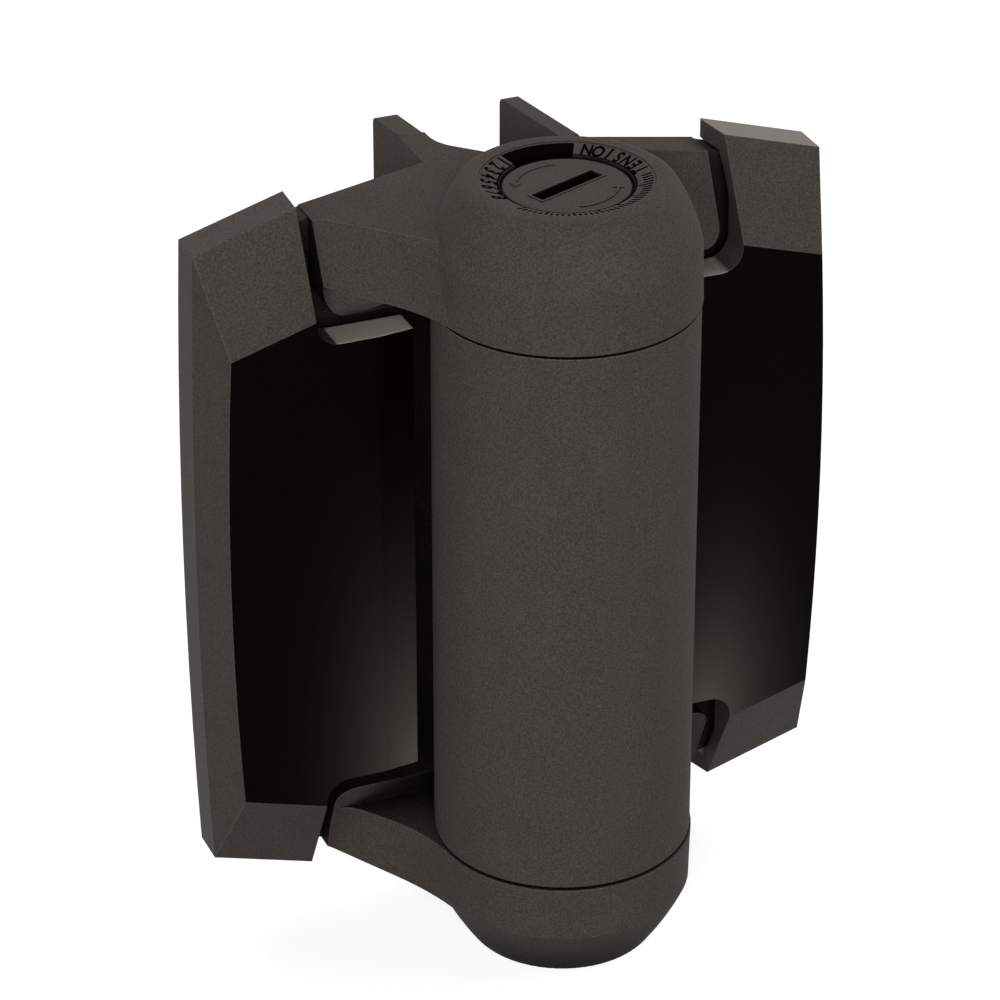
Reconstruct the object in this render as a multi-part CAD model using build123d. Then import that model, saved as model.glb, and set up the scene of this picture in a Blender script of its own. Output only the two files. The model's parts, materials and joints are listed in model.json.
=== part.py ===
from build123d import *
import math
import os

# Self-closing gate hinge, in millimetres.
# Two glass-filled nylon leaves turn on one upright pin axis. The post leaf, on the left, carries an
# arm and a collar at each end. The gate leaf, on the right, carries the barrel between the collars.
# A torsion spring in the barrel closes the gate. The slotted adjuster in the upper collar winds it.
# The pieces are modelled about the pin axis, +X to the gate, +Y to the post's back, +Z up, and are
# then moved so that the origin is the centre of the post leaf's screw pattern, on its back face.

# Barrel and collars
barrel_radius = 19.0
barrel_half_length = 43.0
seam_gap = 0.5
collar_radius = 19.2
collar_height = 17.9
collar_crease_radius = 19.0
collar_crease_rise = 8.5
upper_dome_top_radius = 14.8
upper_dome_bulge = 0.5
lower_dome_top_radius = 13.6
lower_dome_bulge = 0.3
dome_rounding = 2.2

# Leaves, measured from the pin axis. Rises and drops are from the barrel's end.
mounting_plane = 25.0
plate_thickness = 4.0
leaf_half_width = 48.3
leaf_bow = 1.1
leaf_end_rise = 6.8
leaf_end_slope = 0.30

# Covers
cover_wall = 2.2
cover_side_depth = 6.0
cover_front_depth = 13.5
bevel_side_inset = 2.65
bevel_end_drop = 13.6
cover_inner_edge = 18.2
cover_strip_width = 5.4
cover_strip_recess = 0.7
notch_side = 32.9
notch_floor_drop = 6.9
notch_corner_radius = 3.5
lip_depth = 5.5
lip_thickness = 1.8
post_cover_return = 0.2
gate_cover_return = 1.1
cover_fit_clearance = 0.3
snap_rib_height = 0.25
snap_rib_width = 1.2
snap_rib_length = 12.0

# End blocks of the leaves, which fill the cover's notches
block_end = 30.5
block_end_rise = 9.0
block_top_slope = 0.17
block_front_depth = 5.6
block_toe_depth = 11.4
block_floor_drop = 3.7
block_corner_radius = 3.0
turning_clearance = 0.7

# Side-fixing legs
leg_tip_rise = 11.0
leg_tip_radius = 1.2
post_leg_outer_face = 11.4
post_leg_thickness = 3.45
post_leg_reach = 20.2
post_leg_top_slope = 0.13
gate_leg_outer_face = 10.9
gate_leg_thickness = 2.6
gate_leg_reach = 19.5
gate_leg_top_slope = 0.14

# Arms of the post leaf
arm_angle = 54.0
upper_arm_distance = 15.6
upper_arm_setback_slope = 0.15
upper_arm_twist = 0.33
upper_arm_middle_blend_radius = 36.0
upper_arm_top_blend_radius = 14.0
upper_arm_middle_crease = 0.6
upper_arm_top_crease = 1.4
lower_arm_distance = 13.6
arm_top_rise = 14.0
arm_blend_radius = 30.0
arm_heel_run = 10.5
arm_heel_end = 26.5
arm_corner_radius = 4.0
arm_corner_run = 3.0
arm_leg_blend_radius = 10.0
arm_leg_blend_start = 29.3
arm_leg_blend_run = 4.2
arm_back_end_x = 1.0
arm_back_end_y = 18.8

# Web of the gate leaf
web_side = 17.6
web_front_inner = 14.0
web_front_outer = 6.0

# Screw holes
screw_hole_radius = 2.75
screw_head_radius = 5.2
screw_spacing_x = 16.0
screw_spacing_z = 56.0
screw_centre_x = 32.0
leg_hole_radius = 2.5
leg_hole_spacing = 40.0
leg_hole_reach = 11.0

# Fits
running_clearance = 0.05
press_clearance = 0.02
stack_gap = 0.05

# How far a cut runs past what it cuts
cut_overrun = 1.0

# Bearings and pivots
pivot_radius = 11.5
pivot_length = 13.0
bearing_wall = 3.5
bearing_shoulder = 2.0
bearing_length = 13.0
bearing_flange_reach = 1.8
bearing_flange_thickness = 0.4
sleeve_wall = 1.65
sleeve_flange_reach = 0.8
sleeve_flange_thickness = 1.5
sleeve_flange_rise = 11.0
sleeve_ledge_rise = 2.0
sleeve_ledge_thickness = 1.6
key_width = 3.0
key_reach = 1.1
plug_core_radius = 6.0
plug_core_depth = 12.0

# Stack above the sleeve's flange in the upper collar
detent_ring_height = 1.55
retainer_thickness = 0.8
retainer_groove_depth = 0.85
retainer_width = 1.7
retainer_gap_angle = 40.0
dial_ring_height = 2.8
dial_ring_width = 2.85
dial_ring_dish = 0.8
dial_window_start = 62.0
dial_window_end = 117.0
dial_window_depth = 1.7
dial_window_rim = 0.4
dial_window_steps = 3
click_nose_radius = 0.55
click_nose_reach = 0.75
click_band_thickness = 0.6
click_height = 1.0

# Tension adjuster
adjuster_disc_gap = 0.3
adjuster_flange_thickness = 2.4
adjuster_stem_radius = 7.0
adjuster_drive_width = 8.0
adjuster_top_drop = 1.1
adjuster_edge_chamfer = 0.25
adjuster_travel = 2.4
flute_count = 24
flute_radius = 0.7
adjuster_slot_length = 11.8
adjuster_slot_width = 2.3
adjuster_slot_depth = 1.8
adjuster_slot_angle = 22.0
seal_groove_depth = 0.75
seal_rise = 0.7
washer_thickness = 1.0
washer_key_reach = 0.8
washer_key_width = 2.6
return_spring_gap = 0.9
return_spring_wire = 0.8
return_spring_turns = 4
driver_gap = 0.55
driver_top_gap = 0.6
driver_length = 19.0
driver_slot_depth = 6.5
driver_clip_thickness = 1.0
driver_clip_reach = 1.6

# Closing spring and its lower anchor
spring_gap = 0.6
spring_wire = 2.6
spring_turns = 11
spring_leg_inner = 4.0
spring_leg_inset = 2.6
anchor_flange_thickness = 3.0
anchor_hub_radius = 9.3
anchor_hub_height = 9.0
anchor_key_count = 4
anchor_key_width = 3.0
anchor_key_reach = 0.9
anchor_retainer_gap = 0.6

# Bottom cap
cap_skirt_thickness = 1.6
cap_thickness = 1.8
cap_edge_chamfer = 0.5

# Worked-out radii, all from the pivot's
sleeve_flange_radius = pivot_radius + sleeve_flange_reach
sleeve_bore_radius = pivot_radius - sleeve_wall
retainer_inner_radius = sleeve_flange_radius - retainer_width
dial_ring_inner_radius = sleeve_flange_radius - dial_ring_width
adjuster_disc_radius = dial_ring_inner_radius - adjuster_disc_gap
adjuster_flange_radius = sleeve_bore_radius - running_clearance
return_spring_radius = sleeve_bore_radius - return_spring_gap - return_spring_wire / 2
driver_radius = sleeve_bore_radius - driver_gap
bearing_seat_radius = pivot_radius + bearing_wall
bearing_flange_radius = bearing_seat_radius + bearing_flange_reach
bore_radius = bearing_seat_radius - bearing_shoulder
spring_radius = bore_radius - spring_gap - spring_wire / 2

# Worked-out heights and places
collar_face = barrel_half_length + seam_gap
collar_top = collar_face + collar_height
leaf_end_height = barrel_half_length + leaf_end_rise
block_end_height = barrel_half_length + block_end_rise
block_floor = barrel_half_length - block_floor_drop
notch_floor = barrel_half_length - notch_floor_drop
leg_tip_height = barrel_half_length + leg_tip_rise
cover_wall_front = mounting_plane - cover_side_depth
cover_front = mounting_plane - cover_front_depth
post_leg_inner_face = post_leg_outer_face - post_leg_thickness
gate_leg_inner_face = gate_leg_outer_face - gate_leg_thickness
plate_front = mounting_plane - plate_thickness
block_front = mounting_plane - block_front_depth
block_toe = mounting_plane - block_toe_depth
block_setback_slope = (block_front - block_toe) / (block_end_height - block_floor)
sleeve_flange_low = collar_face + sleeve_flange_rise
sleeve_flange_high = sleeve_flange_low + sleeve_flange_thickness
detent_low = sleeve_flange_high + stack_gap
detent_high = detent_low + detent_ring_height
retainer_low = detent_high + stack_gap
retainer_high = retainer_low + retainer_thickness
dial_low = retainer_high + stack_gap
dial_high = dial_low + dial_ring_height
collar_recess_radius = sleeve_flange_radius + press_clearance
adjuster_flange_high = dial_low - stack_gap
seal_groove_radius = adjuster_disc_radius - seal_groove_depth
seal_wire_radius = (dial_ring_inner_radius - seal_groove_radius) / 2 - press_clearance
seal_height = dial_low + seal_rise
adjuster_flange_low = adjuster_flange_high - adjuster_flange_thickness
adjuster_top = dial_high - adjuster_top_drop
ledge_low = collar_face + sleeve_ledge_rise
ledge_high = ledge_low + sleeve_ledge_thickness
washer_high = adjuster_flange_low - stack_gap
washer_low = washer_high - washer_thickness
driver_high = ledge_low - driver_top_gap
driver_low = driver_high - driver_length
pivot_low = barrel_half_length - pivot_length
anchor_low = -pivot_low + retainer_thickness + anchor_retainer_gap
anchor_high = anchor_low + anchor_flange_thickness
spring_low = anchor_high + spring_leg_inset
spring_high = driver_low + spring_leg_inset
click_gap = (detent_ring_height - click_height) / 2
post_origin = (screw_centre_x, -mounting_plane, 0)


def rod(radius, low, high):
    """Upright cylinder about the pin axis."""
    return Pos(0, 0, low) * Cylinder(radius, high - low, align=(Align.CENTER, Align.CENTER, Align.MIN))


def tube(outer, inner, low, high):
    """Upright ring about the pin axis."""
    return rod(outer, low, high) - rod(inner, low - cut_overrun, high + cut_overrun)


def block(low_corner, high_corner):
    """Box between two corners."""
    size = [b - a for a, b in zip(low_corner, high_corner)]
    return Pos(*low_corner) * Box(*size, align=(Align.MIN, Align.MIN, Align.MIN))


def turned(*points):
    """Solid of revolution about the pin axis from (radius, height) points."""
    outline = Polyline(*[(radius, 0, height) for radius, height in points], close=True)
    return revolve(make_face(outline), Axis.Z)


def upside_down(solid):
    """The same shape at the hinge's other end."""
    return mirror(solid, about=Plane.XY)


def both_ends(solid):
    """The shape at the top and its mirror at the bottom."""
    return solid + upside_down(solid)


def to_post_side(solid):
    """The left-hand copy of a right-hand shape."""
    return mirror(solid, about=Plane.YZ)


def leaf_outline(depth, side, end_height, inner):
    """Front outline of a leaf at one depth: bowed outer side and sloping ends."""
    inner_height = end_height + leaf_end_slope * (side - inner)
    y = mounting_plane - depth
    lines = [
        Polyline((side, y, end_height), (inner, y, inner_height), (inner, y, -inner_height),
                 (side, y, -end_height)),
        ThreePointArc((side, y, -end_height), (side + leaf_bow, y, 0), (side, y, end_height)),
    ]
    return make_face(lines)


def forward(face, distance):
    """Extrude a front outline towards the viewer."""
    return extrude(face, amount=distance, dir=(0, -1, 0))


def bevelled_body(side_depth, front_depth, side, end_height, side_inset, end_drop, inner):
    """Straight wall from the back, then a bevel up to a flat front."""
    back = leaf_outline(0, side, end_height, inner)
    wall_front = leaf_outline(side_depth, side, end_height, inner)
    front = leaf_outline(front_depth, side - side_inset, end_height - end_drop, inner)
    return forward(back, side_depth) + loft([wall_front, front], ruled=True)


def notch_tool(side, floor, corner_radius, low_y, high_y):
    """Upper inner corner of a cover, with a rounded inside corner."""
    far = collar_top + barrel_radius
    tool = block((-far, low_y, floor), (side, high_y, far))
    corner = tool.edges().filter_by(Axis.Y).sort_by_distance((side, low_y, floor))[0]
    return fillet(corner, corner_radius)


def snap_ribs(side, grow):
    """Two ribs inside the cover's side wall, or with grow the grooves for them."""
    reach = snap_rib_height + grow
    mid = mounting_plane - plate_thickness / 2
    half_length = snap_rib_length / 2 + grow
    half_width = snap_rib_width / 2 + grow
    ribs = Part()
    for centre in (-screw_spacing_z / 2, screw_spacing_z / 2):
        low = (side - reach, mid - half_width, centre - half_length)
        high = (side + leaf_bow + cover_wall / 2, mid + half_width, centre + half_length)
        ribs += block(low, high)
    return ribs


def make_cover(end_return):
    """Snap-on shell: bevelled outside, hollow inside, notched. The end walls may return at the back."""
    outside = bevelled_body(cover_side_depth, cover_front_depth, leaf_half_width, leaf_end_height,
                            bevel_side_inset, bevel_end_drop, cover_inner_edge)
    end_wall = cover_wall * math.hypot(1, leaf_end_slope)
    bevel_run = cover_front_depth - cover_side_depth
    bevel_length = math.hypot(bevel_end_drop, bevel_run)
    cavity_front_depth = cover_front_depth - cover_wall
    cavity_line_y = cover_side_depth - cover_wall * bevel_end_drop / bevel_length
    cavity_line_z = leaf_end_height - cover_wall * bevel_run / bevel_length
    cavity_end = leaf_end_height - end_wall
    cavity_side_depth = cavity_line_y + (cavity_line_z - cavity_end) * bevel_run / bevel_end_drop
    cavity_rise = cavity_front_depth - cavity_side_depth
    cavity_end_drop = cavity_rise * bevel_end_drop / bevel_run
    cavity_side_inset = cavity_rise * bevel_side_inset / bevel_run
    cavity = bevelled_body(cavity_side_depth, cavity_front_depth, leaf_half_width - cover_wall,
                           cavity_end, cavity_side_inset, cavity_end_drop, 0)
    lip_back = cover_front + lip_depth
    far = barrel_radius
    lip = block((0, cover_front - far, -collar_top), (cover_inner_edge + lip_thickness, lip_back, collar_top))
    for_arm = notch_tool(notch_side + lip_thickness, notch_floor - lip_thickness,
                         notch_corner_radius + lip_thickness, cover_front - far, lip_back)
    lip += both_ends(for_arm)
    behind = mounting_plane + cut_overrun
    notch = notch_tool(notch_side, notch_floor, notch_corner_radius, -far, behind)
    kept = Polyline((notch_side, cover_wall_front, 0), (notch_side, behind, 0),
                    (notch_side - end_return, behind, 0),
                    (notch_side - end_return, mounting_plane - end_return, 0), close=True)
    notch -= extrude(make_face(kept), amount=collar_top, both=True)
    strip = Polyline((cover_inner_edge + cover_strip_width, cover_front, 0), (0, cover_front, 0),
                     (0, cover_front + cover_strip_recess * (1 + cover_inner_edge / cover_strip_width), 0),
                     close=True)
    beside_strip = extrude(make_face(strip), amount=collar_top, both=True)
    shell = outside - (cavity - lip) - both_ends(notch) - beside_strip
    return shell + (snap_ribs(leaf_half_width - cover_wall, 0) & outside)


def sloping_top():
    """Everything above the sloping top of the blocks and arms."""
    far = leaf_half_width
    low_height = block_end_height + block_top_slope * (block_end - far)
    high_height = block_end_height + block_top_slope * (block_end + far)
    outline = Polyline((-far, 0, high_height), (far, 0, low_height), (far, 0, 2 * far),
                       (-far, 0, 2 * far), close=True)
    return extrude(make_face(outline), amount=2 * far, both=True, dir=(0, 1, 0))


def screw_hole(x, z):
    """Countersunk hole along Y, its head on the plate's front."""
    head_depth = screw_head_radius - screw_hole_radius
    straight = Cylinder(screw_hole_radius, 2 * plate_thickness)
    head = Pos(0, 0, plate_thickness / 2 - head_depth / 2) * Cone(
        screw_hole_radius, screw_head_radius, head_depth)
    return Pos(x, mounting_plane - plate_thickness / 2, z) * Rot(90, 0, 0) * (straight + head)


def make_plate(inner):
    """Mounting plate under the cover, with countersunk screw holes and snap grooves."""
    gap = cover_wall + cover_fit_clearance
    end_gap = gap * math.hypot(1, leaf_end_slope)
    plate = forward(leaf_outline(0, leaf_half_width - gap, leaf_end_height - end_gap, inner),
                    plate_thickness)
    plate -= snap_ribs(leaf_half_width - cover_wall, cover_fit_clearance / 2)
    for x in (-screw_spacing_x / 2, screw_spacing_x / 2):
        for z in (-screw_spacing_z / 2, screw_spacing_z / 2):
            plate -= screw_hole(screw_centre_x + x, z)
    return plate


def block_front_at(height):
    """Depth of the end block's bevelled front at one height."""
    return block_toe + block_setback_slope * (height - block_floor)


def make_end_block(inner):
    """Upper block that fills the cover's notch: top, bevelled front and floor."""
    outline = Polyline((inner, mounting_plane, collar_top), (inner, block_front_at(collar_top), collar_top),
                       (inner, block_toe, block_floor), (inner, mounting_plane, block_floor), close=True)
    solid = extrude(make_face(outline), amount=block_end - inner, dir=(1, 0, 0))
    corner = solid.edges().filter_by(Axis.Y).sort_by_distance((block_end, mounting_plane, block_floor))[0]
    return fillet(corner, block_corner_radius)


def make_leg(outer_face, thickness, reach, top_slope):
    """Side-fixing leg behind the leaf, with tapered ends and two screw holes."""
    inner = outer_face - thickness
    tip = mounting_plane + reach
    root_height = leg_tip_height + top_slope * (tip - plate_front)
    outline = Polyline((inner, plate_front, root_height), (inner, tip, leg_tip_height),
                       (inner, tip, -leg_tip_height), (inner, plate_front, -root_height), close=True)
    leg = extrude(make_face(outline), amount=thickness, dir=(1, 0, 0))
    tips = leg.edges().filter_by(Axis.X).sort_by(Axis.Y)[-2:]
    leg = fillet(tips, leg_tip_radius)
    for z in (-leg_hole_spacing / 2, leg_hole_spacing / 2):
        leg -= Pos(outer_face, mounting_plane + leg_hole_reach, z) * Rot(0, 90, 0) * Cylinder(
            leg_hole_radius, 4 * thickness)
    return leg


def leaf_core(inner):
    """What both leaves share, in one moulding: plate and end blocks."""
    return make_plate(inner) + both_ends(make_end_block(inner)) - both_ends(sloping_top())


def collar_radius_at(rise, dome_top_radius):
    """Outside radius of a collar at a height above its lower face, without the dome's bulge."""
    if rise <= collar_crease_rise:
        return collar_radius - (collar_radius - collar_crease_radius) * rise / collar_crease_rise
    share = (rise - collar_crease_rise) / (collar_height - collar_crease_rise)
    return collar_crease_radius - (collar_crease_radius - dome_top_radius) * share


def arm_directions(degrees):
    """In plan, the way an arm's front runs from the collar to the block, and the way it faces."""
    angle = math.radians(degrees)
    return Vector(math.cos(angle), math.sin(angle)), Vector(math.sin(angle), -math.cos(angle))


def arm_corner(rise, distance, degrees):
    """Where an arm's front meets the end block's front at one height."""
    to_block, outward = arm_directions(degrees)
    front = block_front_at(collar_face + rise)
    return Vector((distance + to_block.X * front) / outward.X, front)


def arm_plan(rise, distance, degrees, blend_radius, touching_radius):
    """Plan of an arm at one height. The front bends into the collar and the back into the leg."""
    to_block, outward = arm_directions(degrees)
    corner = arm_corner(rise, distance, degrees)
    start = Vector(corner.X + arm_corner_run, corner.Y)
    centre_out = distance + blend_radius
    centre_reach = touching_radius + blend_radius
    centre = outward * centre_out + to_block * math.sqrt(centre_reach ** 2 - centre_out ** 2)
    leave_line = centre - outward * blend_radius
    touch_collar = centre * (touching_radius / centre_reach)
    middle_way = ((leave_line - centre) + (touch_collar - centre)).normalized()
    arc_middle = centre + middle_way * blend_radius
    leg_end = arm_leg_blend_start + arm_leg_blend_run
    back_corner = Vector(post_leg_inner_face, arm_leg_blend_start)
    leg_point = Vector(post_leg_inner_face, leg_end)
    back_end = Vector(arm_back_end_x, arm_back_end_y)
    lines = [
        FilletPolyline(back_end, back_corner, leg_point, radius=arm_leg_blend_radius),
        Polyline(leg_point, (post_leg_outer_face, leg_end), (post_leg_outer_face, mounting_plane),
                 (start.X, mounting_plane), start),
        FilletPolyline(start, corner, leave_line, radius=arm_corner_radius),
        ThreePointArc(leave_line, arc_middle, touch_collar),
        Polyline(touch_collar, (0, 0), back_end),
    ]
    return Pos(0, 0, collar_face + rise) * make_face(lines)


def arm_heel(distance):
    """Ramp from an arm's lower front edge down to the toe of the end block."""
    to_block = arm_directions(arm_angle)[0]
    corner = arm_corner(0, distance, arm_angle)
    side = min(corner.X, block_end)
    foot = corner - to_block * arm_heel_run
    upper = Polyline((side, corner.Y, collar_face), (foot.X, foot.Y, collar_face),
                     (foot.X, plate_front, collar_face), (side, plate_front, collar_face), close=True)
    lower = Polyline((side, block_toe, block_floor), (arm_heel_end, block_toe, block_floor),
                     (arm_heel_end, plate_front, block_floor), (side, plate_front, block_floor), close=True)
    heel = loft([make_face(lower), make_face(upper)], ruled=True)
    rounded = block((0, 0, block_floor), (block_end, plate_front, collar_face))
    corner_edge = rounded.edges().filter_by(Axis.Y).sort_by_distance((block_end, 0, block_floor))[0]
    return heel & fillet(corner_edge, block_corner_radius)


def make_arm(sections):
    """An arm of the post leaf through its plans, cut off at the end block and the sloping top."""
    arm = loft(sections, ruled=True)
    beyond_block = block((block_end, -collar_radius, 0), (2 * block_end, 2 * mounting_plane, 2 * collar_top))
    return arm - beyond_block - sloping_top()


def make_upper_arm():
    """Arm whose front leans back and twists as it rises, and creases into the collar."""
    blend_radii = (arm_blend_radius, upper_arm_middle_blend_radius, upper_arm_top_blend_radius)
    creases = (0, upper_arm_middle_crease, upper_arm_top_crease)
    sections = []
    for rise, blend_radius, crease in zip((0, collar_crease_rise, arm_top_rise), blend_radii, creases):
        distance = upper_arm_distance - upper_arm_setback_slope * rise
        touching_radius = collar_radius_at(rise, upper_dome_top_radius) - crease
        degrees = arm_angle + upper_arm_twist * rise
        sections.append(arm_plan(rise, distance, degrees, blend_radius, touching_radius))
    return make_arm(sections) + arm_heel(upper_arm_distance)


def make_lower_arm():
    """Arm with an upright front, which bends into the lower collar without a crease."""
    sections = []
    for rise in (0, collar_crease_rise, arm_top_rise):
        touching_radius = collar_radius_at(rise, lower_dome_top_radius)
        sections.append(arm_plan(rise, lower_arm_distance, arm_angle, arm_blend_radius, touching_radius))
    return upside_down(make_arm(sections))


def collar_solid(dome_top_radius, dome_bulge):
    """Outside of a collar, as the upper one: short cylinder, crease, bulging cone and rounded rim."""
    crease = Vector(collar_crease_radius, 0, collar_face + collar_crease_rise)
    top = Vector(dome_top_radius, 0, collar_top)
    slope = (top - crease).normalized()
    middle = (crease + top) / 2 + Vector(slope.Z, 0, -slope.X) * dome_bulge
    lines = [
        Polyline(top, (0, 0, collar_top), (0, 0, collar_face), (collar_radius, 0, collar_face), crease),
        ThreePointArc(crease, middle, top),
    ]
    solid = revolve(make_face(lines), Axis.Z)
    rim = solid.edges().filter_by(GeomType.CIRCLE).group_by(Axis.Z)[-1]
    return fillet(rim, dome_rounding)


def key_slots(low, high, clearance):
    """Two keys beside the pivot's flange, which stop the pivot turning in its collar."""
    reach = sleeve_flange_radius + key_reach + clearance
    half = key_width / 2 + clearance
    return block((-reach, -half, low), (reach, half, high))


def collar_bore():
    """Stepped bore of the upper collar, for the pivot, its keys and the stack above it."""
    over = collar_top + cut_overrun
    bore = rod(pivot_radius + press_clearance, collar_face - cut_overrun, over)
    bore += rod(collar_recess_radius, sleeve_flange_low - stack_gap, over)
    groove = sleeve_flange_radius + retainer_groove_depth
    bore += rod(groove, retainer_low - stack_gap, retainer_high + stack_gap)
    bore += key_slots(sleeve_flange_low - stack_gap, sleeve_flange_high, press_clearance)
    return bore


def make_post_leaf():
    """Left leaf: shared core, leg, two arms and two collars, cut clear of the turning barrel."""
    turning_space = rod(barrel_radius + turning_clearance, -collar_face, collar_face)
    leaf = leaf_core(post_leg_inner_face)
    leaf += make_leg(post_leg_outer_face, post_leg_thickness, post_leg_reach, post_leg_top_slope)
    leaf -= both_ends(sloping_top())
    leaf += make_upper_arm() + make_lower_arm()
    leaf -= turning_space
    leaf = to_post_side(leaf) + collar_solid(upper_dome_top_radius, upper_dome_bulge)
    leaf += upside_down(collar_solid(lower_dome_top_radius, lower_dome_bulge))
    return leaf - both_ends(collar_bore())


def make_web():
    """Joins the barrel to the gate leaf's plate."""
    back = (plate_front + mounting_plane) / 2
    outline = Polyline((gate_leg_inner_face, back, 0), (gate_leg_inner_face, web_front_inner, 0),
                       (web_side, web_front_outer, 0), (web_side, back, 0), close=True)
    return extrude(make_face(outline), amount=barrel_half_length, both=True)


def anchor_keys(radius, clearance, low, high):
    """Keys round the spring anchor, or with clearance the slots for them."""
    keys = Part()
    half = anchor_key_width / 2 + clearance
    for number in range(anchor_key_count):
        key = block((bore_radius / 2, -half, low), (radius + anchor_key_reach + clearance, half, high))
        keys += Rot(0, 0, 360 / anchor_key_count * number) * key
    return keys


def make_gate_leaf():
    """Right leaf: shared core, web and barrel, cut clear of the post leaf's collars."""
    collar_space = rod(collar_radius + turning_clearance, barrel_half_length, 2 * collar_top)
    leaf = leaf_core(gate_leg_inner_face)
    leaf += make_leg(gate_leg_outer_face, gate_leg_thickness, gate_leg_reach, gate_leg_top_slope)
    leaf -= both_ends(collar_space)
    leaf += make_web() + rod(barrel_radius, -barrel_half_length, barrel_half_length)
    leaf -= rod(bore_radius, -collar_top, collar_top)
    seat = rod(bearing_seat_radius, barrel_half_length - bearing_length, collar_face)
    leaf -= both_ends(seat)
    leaf -= rod(bore_radius + retainer_groove_depth, -pivot_low, anchor_low)
    leaf -= anchor_keys(bore_radius, press_clearance, anchor_low, anchor_high)
    return leaf


def make_upper_bearing():
    """Flanged bush in the barrel's upper end. Its flange is the dark seam under the collar."""
    low = barrel_half_length - bearing_length
    bush = rod(bearing_seat_radius - press_clearance, low, barrel_half_length + bearing_flange_thickness)
    bush += rod(bearing_flange_radius, barrel_half_length, barrel_half_length + bearing_flange_thickness)
    return bush - rod(pivot_radius + running_clearance, 0, collar_top)


def make_upper_pivot_sleeve():
    """Pivot in the upper collar, hollow for the adjuster, with a ledge for the return spring."""
    sleeve = rod(pivot_radius, pivot_low, sleeve_flange_high)
    sleeve += rod(sleeve_flange_radius, sleeve_flange_low, sleeve_flange_high)
    sleeve += key_slots(sleeve_flange_low, sleeve_flange_high, 0)
    bore = rod(sleeve_bore_radius, 0, ledge_low)
    bore += rod(adjuster_stem_radius + running_clearance, 0, collar_top)
    bore += rod(sleeve_bore_radius, ledge_high, collar_top)
    half = washer_key_width / 2 + running_clearance
    reach = sleeve_bore_radius + washer_key_reach
    keyway_low = washer_low - adjuster_travel - running_clearance
    bore += block((-half, -reach, keyway_low), (half, reach, collar_top))
    return sleeve - bore


def make_lower_pivot_plug():
    """Pivot in the lower collar, cored out from below."""
    plug = rod(pivot_radius, pivot_low, sleeve_flange_high)
    plug += rod(sleeve_flange_radius, sleeve_flange_low, sleeve_flange_high)
    plug += key_slots(sleeve_flange_low, sleeve_flange_high, 0)
    plug -= rod(plug_core_radius, sleeve_flange_high - plug_core_depth, collar_top)
    return upside_down(plug)


def snap_ring(outer, inner, low, gap_angle):
    """Flat retaining ring with a gap."""
    ring = tube(outer, inner, low, low + retainer_thickness)
    half = outer * math.tan(math.radians(gap_angle / 2))
    gap = make_face(Polyline((0, 0, low), (outer, -half, low), (outer, half, low), close=True))
    return ring - extrude(gap, amount=retainer_thickness)


def make_sleeve_retainer():
    """Retaining ring in the upper collar's groove."""
    outer = sleeve_flange_radius + retainer_groove_depth - press_clearance
    return snap_ring(outer, retainer_inner_radius, retainer_low, retainer_gap_angle)


def make_detent_ring():
    """Fixed ring that holds the click spring round the adjuster's flutes."""
    ring = tube(sleeve_flange_radius, sleeve_bore_radius, detent_low, detent_high)
    seat_radius = sleeve_bore_radius + click_band_thickness + running_clearance
    return ring - rod(seat_radius, detent_low + click_gap, collar_top)


def make_click_spring():
    """Spring-steel band with two noses that sit in the adjuster's flutes."""
    low = detent_low + click_gap + stack_gap
    high = low + click_height
    outer = sleeve_bore_radius + click_band_thickness
    band = tube(outer, sleeve_bore_radius + running_clearance, low, high)
    gap_half = click_band_thickness
    band -= block((-gap_half, -2 * outer, 0), (gap_half, 0, collar_top))
    nose_centre = sleeve_bore_radius + running_clearance + click_nose_radius - click_nose_reach
    for side in (-1, 1):
        nose = Pos(side * nose_centre, 0, 0) * rod(click_nose_radius, low, high)
        arm_end = side * (sleeve_bore_radius + click_band_thickness / 2)
        reach = sorted((side * nose_centre, arm_end))
        stalk = block((reach[0], -click_nose_radius, low), (reach[1], click_nose_radius, high))
        band += nose + stalk
    return band & rod(outer, low, high)


def make_dial_ring():
    """Dished ring round the adjuster, with a window pocket through which the tension is read."""
    ring = turned((dial_ring_inner_radius, dial_low), (sleeve_flange_radius, dial_low),
                  (sleeve_flange_radius, dial_high), (dial_ring_inner_radius, dial_high - dial_ring_dish))
    far = 2 * sleeve_flange_radius
    floor = dial_high - dial_window_depth
    corners = [(0, 0, floor)]
    for step in range(dial_window_steps + 1):
        share = step / dial_window_steps
        angle = math.radians(dial_window_start + (dial_window_end - dial_window_start) * share)
        corners.append((far * math.cos(angle), far * math.sin(angle), floor))
    sector = extrude(make_face(Polyline(*corners, close=True)), amount=collar_height)
    return ring - (sector & rod(sleeve_flange_radius - dial_window_rim, floor, collar_top))


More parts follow.
